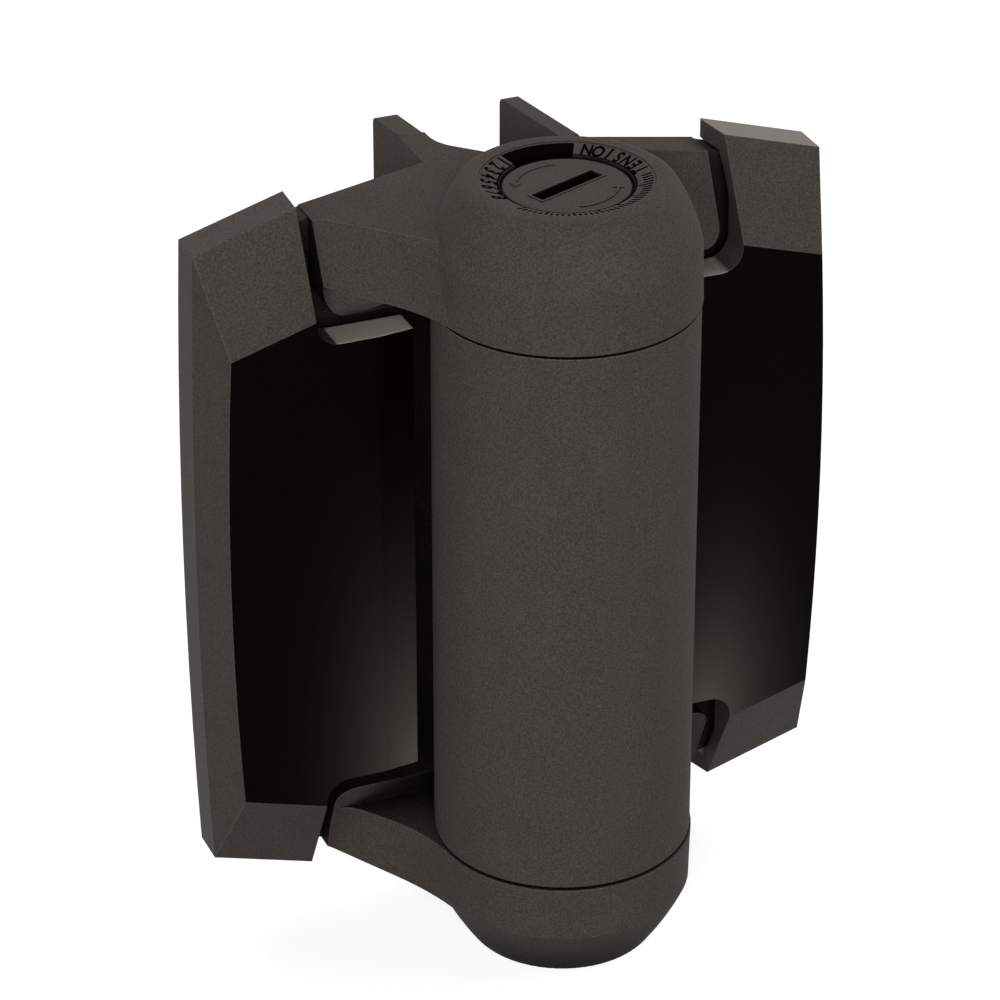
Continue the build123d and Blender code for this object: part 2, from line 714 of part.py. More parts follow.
def make_adjuster():
    """Slotted disc, fluted flange, round stem and square drive, in one piece."""
    adjuster = rod(adjuster_disc_radius, adjuster_flange_low, adjuster_top)
    adjuster = chamfer(adjuster.edges().group_by(Axis.Z)[-1], adjuster_edge_chamfer)
    adjuster += rod(adjuster_flange_radius, adjuster_flange_low, adjuster_flange_high)
    flute = Pos(adjuster_flange_radius, 0, 0) * rod(flute_radius, washer_low, adjuster_flange_high)
    for number in range(flute_count):
        adjuster -= Rot(0, 0, 360 / flute_count * number) * flute
    adjuster += rod(adjuster_stem_radius, driver_high, adjuster_flange_low)
    drive_low = driver_low + driver_slot_depth
    half = adjuster_drive_width / 2
    adjuster += block((-half, -half, drive_low), (half, half, driver_high))
    groove_low = drive_low + driver_clip_thickness
    adjuster -= drive_groove(groove_low)
    slot = block((-adjuster_slot_length / 2, -adjuster_slot_width / 2, adjuster_top - adjuster_slot_depth),
                 (adjuster_slot_length / 2, adjuster_slot_width / 2, collar_top))
    adjuster -= Rot(0, 0, adjuster_slot_angle) * slot
    groove_half = seal_wire_radius + press_clearance
    adjuster -= tube(dial_ring_inner_radius, seal_groove_radius, seal_height - groove_half,
                     seal_height + groove_half)
    return adjuster


def drive_groove(low):
    """Groove round the square drive for the driver clip."""
    inner = adjuster_drive_width / 2 - driver_clip_thickness / 2
    return tube(adjuster_drive_width, inner, low, low + driver_clip_thickness)


def make_driver_clip():
    """Retaining clip in the drive's groove, under the driver's floor."""
    low = driver_low + driver_slot_depth + driver_clip_thickness
    inner = adjuster_drive_width / 2 - driver_clip_thickness / 2 + press_clearance
    outer = adjuster_drive_width / 2 + driver_clip_reach
    clip = tube(outer, inner, low + stack_gap / 2, low + driver_clip_thickness - stack_gap / 2)
    mouth = inner * math.sqrt(0.5)
    return clip - block((-mouth, -2 * outer, low), (mouth, 0, low + driver_clip_thickness))


def make_spring_driver():
    """Cup on the square drive, slotted at its lower end for the spring's upper leg."""
    driver = rod(driver_radius, driver_low, driver_high)
    half = adjuster_drive_width / 2 + press_clearance
    driver -= block((-half, -half, 0), (half, half, collar_top))
    clip_low = driver_low + driver_slot_depth + driver_clip_thickness
    pocket = adjuster_drive_width / 2 + driver_clip_reach + press_clearance
    driver -= rod(pocket, 0, clip_low + driver_clip_thickness)
    half_slot = spring_wire / 2 + running_clearance
    slot_high = driver_low + driver_slot_depth
    return driver - block((-half_slot, 0, 0), (half_slot, 2 * driver_radius, slot_high))


def make_seal():
    """O-ring between the adjuster and the dial ring."""
    return Pos(0, 0, seal_height) * Torus((seal_groove_radius + dial_ring_inner_radius) / 2, seal_wire_radius)


def make_washer():
    """Washer under the adjuster's flange, keyed to the sleeve so that it only slides."""
    washer = rod(sleeve_bore_radius - running_clearance, washer_low, washer_high)
    half = washer_key_width / 2
    reach = sleeve_bore_radius + washer_key_reach - running_clearance
    washer += block((-half, -reach, washer_low), (half, reach, washer_high))
    return washer - rod(adjuster_stem_radius + running_clearance, 0, collar_top)


def helix_path(radius, low, high, turns):
    """Coil about the pin axis from arcs of a quarter turn each, end to end."""
    steps = turns * 4
    rise = (high - low) / steps
    arcs = []
    for step in range(steps):
        places = []
        for part in (0, 0.5, 1):
            angle = math.pi / 2 * (step + part)
            places.append((radius * math.sin(angle), radius * math.cos(angle), low + rise * (step + part)))
        arcs.append(ThreePointArc(*places))
    return arcs


def make_return_spring():
    """Small compression spring between the sleeve's ledge and the washer."""
    half = return_spring_wire / 2
    low = ledge_high + half + running_clearance
    high = washer_low - half - running_clearance
    return coil(helix_path(return_spring_radius, low, high, return_spring_turns), half)


def coil(path, wire_radius):
    """Round wire swept along a path."""
    wire = Wire(path)
    start = Plane(wire @ 0, z_dir=wire % 0)
    return sweep(start * Circle(wire_radius), path=wire)


def make_torsion_spring():
    """Closing spring: open coil whose two legs turn in to the driver and the anchor."""
    coils = helix_path(spring_radius, spring_low, spring_high, spring_turns)
    body = coil(coils, spring_wire / 2)
    for height in (spring_low, spring_high):
        leg = Pos(0, spring_leg_inner, height) * Rot(-90, 0, 0) * Cylinder(
            spring_wire / 2, spring_radius - spring_leg_inner, align=(Align.CENTER, Align.CENTER, Align.MIN))
        body += leg + Pos(0, spring_radius, height) * Sphere(spring_wire / 2)
    return body


def make_spring_anchor():
    """Hub keyed into the barrel, slotted for the spring's lower leg."""
    anchor = rod(bore_radius - press_clearance, anchor_low, anchor_high)
    anchor += anchor_keys(bore_radius - 2 * press_clearance, 0, anchor_low, anchor_high)
    hub_high = anchor_high + anchor_hub_height
    anchor += rod(anchor_hub_radius, anchor_high, hub_high)
    half_slot = spring_wire / 2 + running_clearance
    slot_low = spring_low - half_slot
    return anchor - block((-half_slot, 0, slot_low), (half_slot, 2 * anchor_hub_radius, barrel_half_length))


def make_anchor_retainer():
    """Retaining ring under the spring anchor, in the barrel's groove."""
    outer = bore_radius + retainer_groove_depth - press_clearance
    inner = bore_radius - (sleeve_flange_radius - retainer_inner_radius)
    return snap_ring(outer, inner, -pivot_low + anchor_retainer_gap / 2, retainer_gap_angle)


def make_bottom_cap():
    """Snap-in cap that closes the lower collar."""
    low = retainer_high + stack_gap
    cap = tube(sleeve_flange_radius, sleeve_flange_radius - cap_skirt_thickness, low, collar_top)
    cap += rod(sleeve_flange_radius, collar_top - cap_thickness, collar_top)
    cap = chamfer(cap.edges().group_by(Axis.Z)[-1], cap_edge_chamfer)
    return upside_down(cap)


pieces = {
    "post_leaf": make_post_leaf(),
    "post_cover": to_post_side(make_cover(post_cover_return)),
    "dial_ring": make_dial_ring(),
    "upper_pivot_sleeve": make_upper_pivot_sleeve(),
    "sleeve_retainer": make_sleeve_retainer(),
    "lower_pivot_plug": make_lower_pivot_plug(),
    "plug_retainer": upside_down(make_sleeve_retainer()),
    "bottom_cap": make_bottom_cap(),
    "detent_ring": make_detent_ring(),
    "click_spring": make_click_spring(),
    "gate_leaf": make_gate_leaf(),
    "gate_cover": make_cover(gate_cover_return),
    "upper_bearing": make_upper_bearing(),
    "lower_bearing": upside_down(make_upper_bearing()),
    "spring_anchor": make_spring_anchor(),
    "anchor_retainer": make_anchor_retainer(),
    "torsion_spring": make_torsion_spring(),
    "adjuster_washer": make_washer(),
    "return_spring": make_return_spring(),
    "tension_adjuster": make_adjuster(),
    "spring_driver": make_spring_driver(),
    "driver_clip": make_driver_clip(),
    "adjuster_seal": make_seal(),
}

os.makedirs("parts", exist_ok=True)
for name, piece in pieces.items():
    placed = Pos(*post_origin) * piece
    placed.label = name
    export_step(placed, f"parts/{name}.step")
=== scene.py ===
import json
import math

import bmesh
import bpy
from mathutils import Matrix, Vector


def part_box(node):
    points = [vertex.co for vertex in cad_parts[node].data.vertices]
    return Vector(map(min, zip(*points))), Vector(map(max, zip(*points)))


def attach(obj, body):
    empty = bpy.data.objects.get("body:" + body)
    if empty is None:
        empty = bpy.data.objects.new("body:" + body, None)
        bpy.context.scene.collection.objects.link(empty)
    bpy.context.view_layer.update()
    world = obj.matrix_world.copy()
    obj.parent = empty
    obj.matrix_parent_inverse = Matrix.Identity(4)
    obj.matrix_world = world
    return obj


# Looks of the self-closing gate hinge, in metres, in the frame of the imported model.
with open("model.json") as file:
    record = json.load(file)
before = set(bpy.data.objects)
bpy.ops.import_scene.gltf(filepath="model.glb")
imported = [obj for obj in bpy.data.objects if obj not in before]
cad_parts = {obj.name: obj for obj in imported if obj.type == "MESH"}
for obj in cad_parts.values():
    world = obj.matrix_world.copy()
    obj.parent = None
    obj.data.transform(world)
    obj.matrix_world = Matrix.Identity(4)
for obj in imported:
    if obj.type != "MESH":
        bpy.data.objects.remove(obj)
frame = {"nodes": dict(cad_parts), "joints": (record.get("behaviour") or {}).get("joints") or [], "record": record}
scene = bpy.context.scene
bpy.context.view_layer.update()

# Places read from the frame
pin = Vector(frame["joints"][0]["pos_m"])
ring_low, ring_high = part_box("dial_ring")
ring_outer_radius = (ring_high.x - ring_low.x) / 2
disc_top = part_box("tension_adjuster")[1].z
floor_height = min(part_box("post_leaf")[0].z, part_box("bottom_cap")[0].z)
cover_boxes = {name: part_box(name) for name in ("post_cover", "gate_cover")}

# Camera, from the photograph's viewing angle
camera_place = Vector((-0.1852, -0.5270, 0.3127))
camera_azimuth = math.radians(-22.43)
camera_elevation = math.radians(28.9)
camera_lens = 157.2
camera_sensor = 36.0

# Lamps: azimuth, with 0 in front and 90 on the right, elevation and level
lamps = {
    "front": (-22, 22, 0.84),
    "left": (-75, 20, 0.25),
    "right": (64, 25, 0.38),
    "back": (-175, 40, 0.38),
    "back_right": (118, 35, 0.30),
}
lamp_size = 0.5
lamp_distance = 1.0
ambient_level = 0.06

# Floor: its colour and glow as the camera sees it, and the colour that sends light back up
white = (1.0, 1.0, 1.0)
floor_seen = (0.35, 0.35, 0.35)
floor_glow = 0.80
floor_bounce = (0.14, 0.14, 0.14)
floor_roughness = 0.9
floor_half_size = 12.0
floor_divisions = 8

# Colours, as linear red, green and blue
nylon_dark = (0.039, 0.034, 0.0295)
nylon_light = (0.068, 0.061, 0.054)
panel_dark = (0.0010, 0.0007, 0.0001)
# Colour of the painted reflection, a lighter haze low on the covers' panels
painted_panel_reflection = (0.115, 0.104, 0.090)
# Colour of the painted top light on cover faces that look up
painted_top_light = (0.31, 0.285, 0.255)
# Dark colour of the dial's print, and of the sheets and ring of painted shade
print_and_shade_dark = (0.0018, 0.0015, 0.0012)
acetal_white = (0.62, 0.60, 0.54)
bush_black = (0.012, 0.012, 0.012)
zinc = (0.56, 0.56, 0.57)
spring_grey = (0.34, 0.34, 0.35)
rubber_black = (0.014, 0.014, 0.014)

# Moulding grain: fine bumps, and colour that varies with them and with wide clouds
grain_size = 0.00028
grain_detail = 3.0
grain_roughness = 0.6
grain_strength = 0.6
cloud_size = 0.006
cloud_detail = 4.0
cloud_roughness = 0.55
grain_share = 0.88
cloud_share = 0.12
darkest_at = 0.38
lightest_at = 0.62

# Edges: they are rounded, and a painted highlight makes them lighter by the gain where they leave the flat faces
nylon_edge_radius = 0.0004
smooth_edge_radius = 0.0002
mark_edge_radius = 0.0001
edge_samples = 4
edge_highlight_gain = 1.7
edge_from = 0.995
edge_full = 0.90

# Painted shade in crevices: how open a place has to be to keep its colour, and what share of it the darkest places
# keep
crevice_shade_share = 0.05
crevice_samples = 6
open_enough = 0.78

# Nylon: roughness, specular level, depth of the grain, reach of the painted crevice shade and how closed the
# darkest are
moulded_finish = (0.72, 0.045, 0.00005, 0.012, 0.30)
dial_finish = (0.66, 0.04, 0.00002, 0.005, 0.56)

# Covers. A face is polished by how far it looks forward, and gets painted top light by how far it looks up.
cover_grain_depth = 0.00003
cover_specular = 0.02
bevel_roughness = 0.44
panel_roughness = 0.26
panel_from = -0.95
panel_full = -0.98
top_light_full = 0.99

# Painted reflection on the covers' panels, a lighter haze: how far its middle is from the inner edge and how far
# it reaches across and up, as shares of the cover's width and height. The last number is where a face begins to
# get painted top light.
cover_looks = {"post_cover": (0.0, 1.05, 0.95, 0.985), "gate_cover": (0.30, 1.2, 0.72, 0.915)}
reflection_height = 0.13
reflection_falloff = 5.0

# Smooth plastics: colour, roughness and size of their faint unevenness
smooth_plastics = {
    "bearing_plastic": (acetal_white, 0.4, 0.0008),
    "bush_plastic": (bush_black, 0.5, 0.0008),
    "seal_rubber": (rubber_black, 0.65, 0.0006),
}
smooth_depth = 0.000004
smooth_specular = 0.4
smooth_darker = 0.88
mark_lighter = 1.6

# Metals: colour, roughness and stretch of their streaks along the pin axis
metals = {
    "steel": (zinc, 0.32, 1.0),
    "spring_steel": (spring_grey, 0.34, 0.1),
}
streak_scale = 1200.0
streak_detail = 2.0
streak_smoother = 0.06
streak_rougher = 0.08
streak_darker = 0.8
streak_dark_at = 0.3
streak_light_at = 0.7
streak_strength = 0.3
streak_depth = 0.000005

# Dial. The ring's top slopes down to its inner edge.
ring_inner_radius = 0.00945
ring_dish = 0.0008
dial_word = "TENSION"
dial_digits = "12345678"
dial_letter_size = 0.0032
dial_letter_narrowing = 0.70
dial_letter_radius = 0.01095
dial_mark_height = 0.00006
dial_letter_boldness = 0.00008
tick_inner_radius = 0.0098
tick_outer_radius = 0.0119
tick_short_by = 0.0007
tick_width = 0.00030
tick_count = 35
long_tick_every = 5
first_tick = math.radians(-148)
tick_step = math.radians(4)
word_start = math.radians(-2)
word_step = math.radians(9)
digits_start = math.radians(121)
digits_step = math.radians(9.5)
gap_shadow_inner_radius = 0.00948
gap_shadow_outer_radius = 0.0097
gap_shadow_steps = 120
sweep_steps = 28

# Window pocket of the ring, with a dark sheet of painted shade on its floor and wall
window_start = math.radians(62.4)
window_end = math.radians(116.6)
window_depth = 0.0017
window_outer_radius = 0.01188
shade_sheet_thickness = 0.00004

# Disc of the adjuster, with its arrows, its slot, the slot's rim and a dark sheet of painted shade in the slot
trim_sunk = 0.0002
trim_proud = 0.00012
arrow_start = math.radians(81)
arrow_end = math.radians(152)
arrow_radius = 0.0071
arrow_width = 0.00026
arrow_head_length = 0.0013
arrow_head_half_width = 0.00078
slot_half_length = 0.0059
slot_half_width = 0.00115
slot_angle = math.radians(22)
slot_rim_width = 0.0003
slot_depth = 0.0018
slot_shade_gap = 0.00003


def new_material(name):
    """A material with its node tree and its Principled shader."""
    material = bpy.data.materials.new(name)
    material.use_nodes = True
    tree = material.node_tree
    return material, tree, tree.nodes["Principled BSDF"]


def add(tree, kind, **inputs):
    """A node with some of its inputs set. Spaces in input names are written as underscores."""
    node = tree.nodes.new(kind)
    for key, value in inputs.items():
        node.inputs[key.replace("_", " ")].default_value = value
    return node


def calculate(tree, operation, *operands, kind="ShaderNodeMath"):
    """A node that works something out. Each operand is a value or another node's output."""
    node = tree.nodes.new(kind)
    node.operation = operation
    for socket, operand in zip(node.inputs, operands):
        if isinstance(operand, bpy.types.NodeSocket):
            tree.links.new(operand, socket)
        else:
            socket.default_value = operand
    return node


def map_range(tree, value, from_low, from_high, to_low=0.0, to_high=1.0):
    """A value carried over from one range to another, and kept inside the second."""
    node = add(tree, "ShaderNodeMapRange", From_Min=from_low, From_Max=from_high, To_Min=to_low,
               To_Max=to_high)
    tree.links.new(value, node.inputs["Value"])
    return node.outputs["Result"]


def ramp(tree, factor, stops):
    """A colour ramp from a factor and two (position, colour) stops."""
    node = tree.nodes.new("ShaderNodeValToRGB")
    for element, (position, colour) in zip(node.color_ramp.elements, stops):
        element.position = position
        element.color = (*colour, 1.0)
    tree.links.new(factor, node.inputs["Fac"])
    return node.outputs["Color"]


def colour_mix(tree, first, blend="MIX"):
    """A node that mixes colours, with its first colour linked."""
    node = tree.nodes.new("ShaderNodeMix")
    node.data_type = "RGBA"
    node.blend_type = blend
    tree.links.new(first, node.inputs["A"])
    return node


def times(colour, factor):
    """A colour, each part multiplied by a factor."""
    return tuple(factor * part for part in colour)


def grain(tree, shader, size, depth, edge_radius):
    """Spark-eroded moulding grain and softly rounded edges, as bump."""
    coordinates = tree.nodes.new("ShaderNodeTexCoord")
    noise = add(tree, "ShaderNodeTexNoise", Scale=1 / size, Detail=grain_detail, Roughness=grain_roughness)
    tree.links.new(coordinates.outputs["Object"], noise.inputs["Vector"])
    edges = add(tree, "ShaderNodeBevel", Radius=edge_radius)
    edges.samples = edge_samples
    bump = add(tree, "ShaderNodeBump", Strength=grain_strength, Distance=depth)
    tree.links.new(noise.outputs["Fac"], bump.inputs["Height"])
    tree.links.new(edges.outputs["Normal"], bump.inputs["Normal"])
    tree.links.new(bump.outputs["Normal"], shader.inputs["Normal"])
    return coordinates, noise, edges


def painted_edge_highlight(tree, colour, edges):
    """The colour with a painted highlight: lighter where the rounded edges leave the flat faces."""
    flat = tree.nodes.new("ShaderNodeNewGeometry")
    agreement = calculate(tree, "DOT_PRODUCT", edges.outputs["Normal"], flat.outputs["True Normal"],
                          kind="ShaderNodeVectorMath")
    # Painted highlight: the colour is raised by the gain along rounded edges
    lift = map_range(tree, agreement.outputs["Value"], edge_from, edge_full, 1.0, edge_highlight_gain)
    product = calculate(tree, "SCALE", colour, kind="ShaderNodeVectorMath")
    tree.links.new(lift, product.inputs["Scale"])
    return product.outputs["Vector"]


def mottled(tree, coordinates, fine, low, high):
    """Slight colour variation of filled nylon: wide clouds and fine specks."""
    clouds = add(tree, "ShaderNodeTexNoise", Scale=1 / cloud_size, Detail=cloud_detail,
                 Roughness=cloud_roughness)
    tree.links.new(coordinates.outputs["Object"], clouds.inputs["Vector"])
    wide = calculate(tree, "MULTIPLY", clouds.outputs["Fac"], cloud_share)
    both = calculate(tree, "MULTIPLY_ADD", fine.outputs["Fac"], grain_share, wide.outputs["Value"])
    return ramp(tree, both.outputs["Value"], [(darkest_at, low), (lightest_at, high)])


def painted_crevice_shade(tree, colour, reach, closed):
    """The colour with painted shade, falling to a share of itself where surfaces within the reach close the view
    out.
    """
    # Painted shade: ambient occlusion darkens the colour in crevices and gaps
    openness = add(tree, "ShaderNodeAmbientOcclusion", Distance=reach)
    openness.samples = crevice_samples
    share = map_range(tree, openness.outputs["AO"], closed, open_enough, crevice_shade_share, 1.0)
    product = colour_mix(tree, colour, "MULTIPLY")
    product.inputs["Factor"].default_value = 1.0
    tree.links.new(share, product.inputs["B"])
    return product.outputs["Result"]


def grained_nylon(name, roughness, specular, depth, reach, closed):
    """Textured glass-filled nylon, with painted highlights on its edges and painted shade in its crevices."""
    material, tree, shader = new_material(name)
    coordinates, fine, edges = grain(tree, shader, grain_size, depth, nylon_edge_radius)
    colour = painted_edge_highlight(tree, mottled(tree, coordinates, fine, nylon_dark, nylon_light), edges)
    tree.links.new(painted_crevice_shade(tree, colour, reach, closed), shader.inputs["Base Color"])
    shader.inputs["Roughness"].default_value = roughness
    shader.inputs["Specular IOR Level"].default_value = specular
    return material


def painted_reflection_strength(tree, coordinates, box, inset, across, up):
    """Strength of the painted reflection on a cover, one in its middle and falling to nought."""
    low, high = box
    inner_x = high.x if abs(high.x - pin.x) < abs(low.x - pin.x) else low.x
    outer_x = low.x + high.x - inner_x
    width = high.x - low.x
    height = high.z - low.z
    middle = (inner_x + inset * (outer_x - inner_x), low.y, low.z + reflection_height * height)
    shares = (1 / (across * width), 0.0, 1 / (up * height))
    vector = "ShaderNodeVectorMath"
    offset = calculate(tree, "SUBTRACT", coordinates.outputs["Object"], middle, kind=vector)
    scaled = calculate(tree, "MULTIPLY", offset.outputs["Vector"], shares, kind=vector)
    distance = calculate(tree, "LENGTH", scaled.outputs["Vector"], kind=vector)
    near = calculate(tree, "SUBTRACT", 1.0, distance.outputs["Value"])
    near.use_clamp = True
    return calculate(tree, "POWER", near.outputs["Value"], reflection_falloff).outputs["Value"]


def cover_nylon(name, box, reflection_inset, reflection_across, reflection_up, top_light_from):
    """Cover moulding: satin bevels, and a polished dark front panel with a painted reflection low beside the
    barrel.
    Faces that look up get painted top light."""
    material, tree, shader = new_material(name)
    coordinates, fine, edges = grain(tree, shader, grain_size, cover_grain_depth, nylon_edge_radius)
    facing = tree.nodes.new("ShaderNodeSeparateXYZ")
    tree.links.new(coordinates.outputs["Normal"], facing.inputs["Vector"])
    is_panel = map_range(tree, facing.outputs["Y"], panel_from, panel_full)
    # Painted top light: faces that look up are made lighter
    is_painted_top_lit = map_range(tree, facing.outputs["Z"], top_light_from, top_light_full)
    # Painted reflection: the panel's colour is lightened low beside the barrel
    painted_reflection_amount = painted_reflection_strength(tree, coordinates, box, reflection_inset, reflection_across, reflection_up)
    polished = ramp(tree, painted_reflection_amount, [(0.0, panel_dark), (1.0, painted_panel_reflection)])
    colour = colour_mix(tree, mottled(tree, coordinates, fine, nylon_dark, nylon_light))
    tree.links.new(is_panel, colour.inputs["Factor"])
    tree.links.new(polished, colour.inputs["B"])
    lighter = colour_mix(tree, colour.outputs["Result"])
    tree.links.new(is_painted_top_lit, lighter.inputs["Factor"])
    lighter.inputs["B"].default_value = (*painted_top_light, 1.0)
    tree.links.new(painted_edge_highlight(tree, lighter.outputs["Result"], edges), shader.inputs["Base Color"])
    roughness = map_range(tree, is_panel, 0.0, 1.0, bevel_roughness, panel_roughness)
    tree.links.new(roughness, shader.inputs["Roughness"])
    shader.inputs["Specular IOR Level"].default_value = cover_specular
    return material


def smooth(name, low, high, roughness, specular, size, edge_radius):
    """A smooth finish between two colours, with a faint unevenness."""
    material, tree, shader = new_material(name)
    coordinates, fine = grain(tree, shader, size, smooth_depth, edge_radius)[:2]
    tree.links.new(mottled(tree, coordinates, fine, low, high), shader.inputs["Base Color"])
    shader.inputs["Roughness"].default_value = roughness
    shader.inputs["Specular IOR Level"].default_value = specular
    return material


def metal(name, colour, roughness, stretch):
    """Drawn or pressed steel with fine streaks."""
    material, tree, shader = new_material(name)
    coordinates = tree.nodes.new("ShaderNodeTexCoord")
    stretched = add(tree, "ShaderNodeMapping", Scale=(1.0, 1.0, stretch))
    noise = add(tree, "ShaderNodeTexNoise", Scale=streak_scale, Detail=streak_detail)
    tree.links.new(coordinates.outputs["Object"], stretched.inputs["Vector"])
    tree.links.new(stretched.outputs["Vector"], noise.inputs["Vector"])
    streaks = noise.outputs["Fac"]
    spread = map_range(tree, streaks, 0.0, 1.0, roughness - streak_smoother, roughness + streak_rougher)
    tree.links.new(spread, shader.inputs["Roughness"])
    stops = [(streak_dark_at, times(colour, streak_darker)), (streak_light_at, colour)]
    tree.links.new(ramp(tree, streaks, stops), shader.inputs["Base Color"])
    bump = add(tree, "ShaderNodeBump", Strength=streak_strength, Distance=streak_depth)
    tree.links.new(streaks, bump.inputs["Height"])
    tree.links.new(bump.outputs["Normal"], shader.inputs["Normal"])
    shader.inputs["Metallic"].default_value = 1.0
    return material


def dress(node, material):
    """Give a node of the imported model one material."""
    slots = frame["nodes"][node].data.materials
    slots.clear()
    slots.append(material)


finish_of_slot = {
    "moulded_nylon": grained_nylon("moulded_nylon", *moulded_finish),
    "dial_plastic": grained_nylon("dial_plastic", *dial_finish),
}
for slot, (colour, roughness, size) in smooth_plastics.items():
    finish_of_slot[slot] = smooth(slot, times(colour, smooth_darker), colour, roughness, smooth_specular,
                                  size, smooth_edge_radius)
for slot, look in metals.items():
    finish_of_slot[slot] = metal(slot, *look)
# Material of the dial's print, and of the sheets and ring of painted shade
print_and_shade_material = smooth("dial_print_and_painted_shade", print_and_shade_dark, times(print_and_shade_dark, mark_lighter), 1.0, 0.0, grain_size,
                       mark_edge_radius)
for subpart in frame["record"]["subparts"]:
    node = subpart["node"]
    if node in cover_boxes:
        dress(node, cover_nylon("cover_nylon_" + node, cover_boxes[node], *cover_looks[node]))
    else:
        dress(node, finish_of_slot[subpart["material_slot"]])


def piece_from(name, bm, material, body):
    """An object from a bmesh, riding on a body."""
    bmesh.ops.recalc_face_normals(bm, faces=bm.faces)
    mesh = bpy.data.meshes.new(name)
    bm.to_mesh(mesh)
    bm.free()
    piece = bpy.data.objects.new(name, mesh)
    scene.collection.objects.link(piece)
    piece.data.materials.append(material)
    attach(piece, body)


def round_pin(radius, angle, height):
    """A place at a radius, an angle and a height about the pin axis."""
    return pin.x + radius * math.cos(angle), pin.y + radius * math.sin(angle), height


def join_loops(bm, first, second):
    """Faces between two closed rows of as many vertices."""
    for a in range(len(first)):
        b = (a + 1) % len(first)
        bm.faces.new((first[a], first[b], second[b], second[a]))


def ring_top(radius):
    """Height of the dial ring's sloping top at a radius."""
    return ring_high.z - ring_dish * (ring_outer_radius - radius) / (ring_outer_radius - ring_inner_radius)


def on_ring(angle, radius):
    """Matrix that lays something on the ring's slope, its top towards the pin axis."""
    slope = math.atan2(ring_dish, ring_outer_radius - ring_inner_radius)
    turn = Matrix.Rotation(angle + math.pi / 2, 4, "Z") @ Matrix.Rotation(-slope, 4, "X")
    return Matrix.Translation(round_pin(radius, angle, ring_top(radius))) @ turn


def add_box(bm, size, place):
    """A box of a size, laid by a matrix."""
    made = bmesh.ops.create_cube(bm, size=1.0)
    bmesh.ops.transform(bm, matrix=place @ Matrix.Diagonal((*size, 1.0)), verts=made["verts"])


def add_letters(bm, text, start_angle, step_angle):
    """Letters round the ring, their tops towards the pin axis, from thin extruded text."""
    narrow = Matrix.Diagonal((dial_letter_narrowing, 1.0, 1.0, 1.0))
    for number, letter in enumerate(text):
        curve = bpy.data.curves.new("letter", "FONT")
        curve.body = letter
        curve.size = dial_letter_size
        curve.align_x = "CENTER"
        curve.align_y = "CENTER"
        curve.extrude = dial_mark_height / 2
        curve.offset = dial_letter_boldness
        holder = bpy.data.objects.new("letter", curve)
        scene.collection.objects.link(holder)
        bpy.context.view_layer.update()
        evaluated = holder.evaluated_get(bpy.context.evaluated_depsgraph_get())
        mesh = bpy.data.meshes.new_from_object(evaluated)
        mesh.transform(on_ring(start_angle + step_angle * number, dial_letter_radius) @ narrow)
        bm.from_mesh(mesh)
        bpy.data.meshes.remove(mesh)
        bpy.data.objects.remove(holder)
        bpy.data.curves.remove(curve)


def add_tick(bm, angle, inner, outer):
    """A radial tick mark on the ring."""
    add_box(bm, (tick_width, outer - inner, dial_mark_height), on_ring(angle, (inner + outer) / 2))


def add_sweep(bm, section, start, end, steps=sweep_steps):
    """A closed section of (radius, height) points swept round the pin axis from one angle to another."""
    rings = []
    for step in range(steps + 1):
        angle = start + (end - start) * step / steps
        rings.append([bm.verts.new(round_pin(radius, angle, height)) for radius, height in section])
    for first, second in zip(rings, rings[1:]):
        join_loops(bm, first, second)
    bm.faces.new(rings[0][::-1])
    bm.faces.new(rings[-1])


def add_arrow(bm, start, end, low, high):
    """A thin curved bar round the pin axis, with an arrow head at its end."""
    inner, outer = arrow_radius - arrow_width / 2, arrow_radius + arrow_width / 2
    add_sweep(bm, [(inner, low), (outer, low), (outer, high), (inner, high)], start, end)
    tip = end + arrow_head_length / arrow_radius
    points = [(arrow_radius - arrow_head_half_width, end), (arrow_radius + arrow_head_half_width, end),
              (arrow_radius, tip)]
    bottom, top = ([bm.verts.new(round_pin(*point, height)) for point in points] for height in (low, high))
    bm.faces.new(bottom[::-1])
    bm.faces.new(top)
    join_loops(bm, bottom, top)


def add_painted_gap_shadow(bm):
    """A painted shadow of the gap round the disc: a dark ring on the slope next to the disc, from one end of the
    window round to the other.
    """
    inner, outer, half = gap_shadow_inner_radius, gap_shadow_outer_radius, dial_mark_height / 2
    low, high = ring_top(inner), ring_top(outer)
    section = [(inner, low - half), (outer, high - half), (outer, high + half), (inner, low + half)]
    add_sweep(bm, section, window_end, window_start + 2 * math.pi, gap_shadow_steps)


def add_slot_frame(bm, inner_margin, outer_margin, low, high):
    """A rectangular frame along the adjuster's slot, between two margins outside the slot's walls."""
    turn = Matrix.Rotation(slot_angle, 3, "Z")
    loops = []
    section = ((inner_margin, low), (outer_margin, low), (outer_margin, high), (inner_margin, high))
    for margin, height in section:
        x, y = slot_half_length + margin, slot_half_width + margin
        corners = [turn @ Vector((*corner, 0.0)) for corner in ((x, y), (-x, y), (-x, -y), (x, -y))]
        loops.append([bm.verts.new((pin.x + corner.x, pin.y + corner.y, height)) for corner in corners])
    for number, loop in enumerate(loops):
        join_loops(bm, loop, loops[(number + 1) % len(loops)])


def make_dial_marks():
    """Marks on the dial ring: the word for tension on one side, a plain numbered scale on the other, and a ring of
    painted shadow next to the disc.
    """
    bm = bmesh.new()
    # Ring of painted shadow next to the disc
    add_painted_gap_shadow(bm)
    add_letters(bm, dial_word, word_start, word_step)
    add_letters(bm, dial_digits, digits_start, digits_step)
    for number in range(tick_count):
        shorter = 0.0 if number % long_tick_every == 0 else tick_short_by
        add_tick(bm, first_tick + tick_step * number, tick_inner_radius + shorter, tick_outer_radius)
    piece_from("dial_marks", bm, print_and_shade_material, "post_side")


